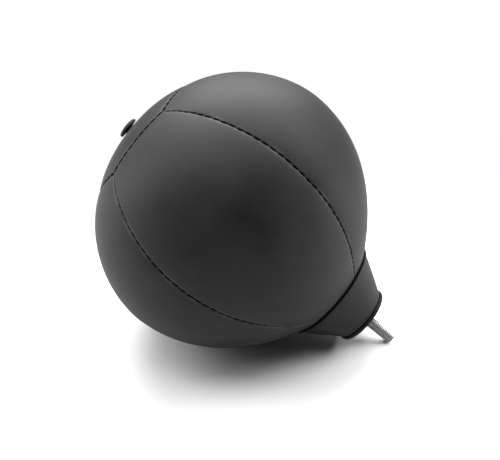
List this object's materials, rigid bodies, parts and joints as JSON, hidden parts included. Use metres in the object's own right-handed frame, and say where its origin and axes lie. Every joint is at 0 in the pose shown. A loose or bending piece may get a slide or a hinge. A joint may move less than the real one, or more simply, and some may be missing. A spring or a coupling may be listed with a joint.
{
  "type": "inflatable punching ball",
  "caption": "Inflatable punching ball: stitched leather gores over a bladder, a crown patch with an inflation plug, a conical collar, a clamped base cap and a threaded stud.",
  "frame": {"origin": "centre of the base cap's seat face, where the threaded stud leaves it", "axes": "+Z along the ball's axis from the stud towards the crown and its plug, -Y towards the middle of the first gore, +X to its right"},
  "size_m": [0.23, 0.23, 0.2881],
  "materials": {
    "grey_leather": "satin coated leather with a fine pebble grain",
    "black_piping": "satin",
    "woven_lining": "matte woven cotton",
    "bladder_rubber": "matte",
    "black_rubber": "matte moulded",
    "black_plastic": "fine moulded grain",
    "waxed_cord": "waxed cord",
    "grey_felt": "felt",
    "zinc_steel": "bright zinc"
  },
  "bodies": {
    "ball": {"gore_panel_1": "grey_leather", "gore_panel_2": "grey_leather", "gore_panel_3": "grey_leather", "gore_panel_4": "grey_leather", "gore_panel_5": "grey_leather", "gore_panel_6": "grey_leather", "crown_patch": "grey_leather", "collar_sleeve": "grey_leather", "crown_liner": "woven_lining", "bladder": "bladder_rubber", "valve_body": "black_rubber", "neck_piping": "black_piping", "neck_core": "black_plastic", "base_cap": "black_plastic", "neck_binding": "waxed_cord", "bolt_head_pad": "grey_felt", "anchor_bolt": "zinc_steel", "lock_washer": "zinc_steel", "clamp_washer": "zinc_steel", "clamp_nut": "zinc_steel"},
    "plug": {"valve_plug": "black_rubber"}
  },
  "joints": [
    {"name": "plug_pull", "type": "slide", "parent": "ball", "child": "plug", "axis": [0, 0, 1], "range_m": [0, 0.0155]}
  ]
}
